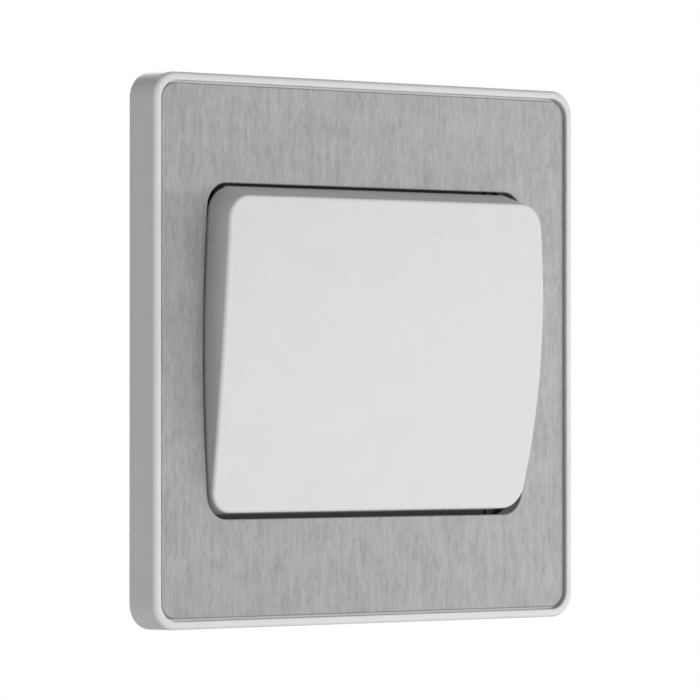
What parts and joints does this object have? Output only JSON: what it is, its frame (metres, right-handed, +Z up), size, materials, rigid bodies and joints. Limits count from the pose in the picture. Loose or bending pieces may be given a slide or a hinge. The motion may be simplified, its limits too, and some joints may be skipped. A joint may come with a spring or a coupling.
{
  "type": "wide rocker light switch",
  "caption": "Square white wall switch with a brushed steel face and a wide crowned rocker that tips about a level axis, with its see-saw contact mechanism behind.",
  "frame": {"origin": "midway between the two fixing screws, on the wall's surface", "axes": "+X to the right as seen from the room, +Y into the wall, +Z up"},
  "size_m": [0.095, 0.0323, 0.095],
  "materials": {
    "frame_moulding": "smooth moulded white",
    "fascia_steel": "brushed upright",
    "tape": "matt film",
    "rocker_moulding": "smooth moulded white",
    "yoke_moulding": "fine matt moulding",
    "housing_moulding": "fine matt moulding",
    "dolly_moulding": "fine matt moulding",
    "brass_parts": "rolled",
    "silver_tips": "polished",
    "spring_steel": "drawn wire",
    "screw_steel": "bright zinc plate"
  },
  "bodies": {
    "root": {"surround_frame": "frame_moulding", "steel_fascia": "fascia_steel", "fascia_tape": "tape", "mounting_yoke": "yoke_moulding", "mechanism_cover": "housing_moulding", "rear_housing": "housing_moulding", "housing_screws": "screw_steel", "fixing_screw_left": "screw_steel", "fixing_screw_right": "screw_steel", "common_contact": "brass_parts", "upper_contact": "brass_parts", "lower_contact": "brass_parts", "fixed_tip_upper": "silver_tips", "fixed_tip_lower": "silver_tips", "common_terminal": "brass_parts", "upper_terminal": "brass_parts", "lower_terminal": "brass_parts", "earth_terminal": "brass_parts", "common_terminal_screw": "screw_steel", "upper_terminal_screw": "screw_steel", "lower_terminal_screw": "screw_steel", "earth_terminal_screw": "screw_steel"},
    "rocker": {"rocker_cap": "rocker_moulding", "switch_dolly": "dolly_moulding", "dolly_spring": "spring_steel"},
    "plunger": {"contact_plunger": "dolly_moulding"},
    "seesaw": {"moving_contact": "brass_parts", "moving_tip_upper": "silver_tips", "moving_tip_lower": "silver_tips"}
  },
  "joints": [
    {"name": "rocker_tilt", "type": "hinge", "parent": "root", "child": "rocker", "pos_m": [0, -0.0035, 0], "axis": [-1, 0, 0], "range_deg": [0, 11.4]},
    {"name": "plunger_slide", "type": "slide", "parent": "rocker", "child": "plunger", "axis": [0, -0.9951, -0.0993], "range_m": [0, 0.0008], "stiffness_N_per_m": 400, "deforming": ["dolly_spring"]},
    {"name": "contact_rock", "type": "hinge", "parent": "root", "child": "seesaw", "pos_m": [0, 0.0095, 0], "axis": [1, 0, 0], "range_deg": [0, 21.6]}
  ],
  "couplings": [
    {"joint": "contact_rock", "follows": "rocker_tilt", "ratio": 1.8947}
  ]
}
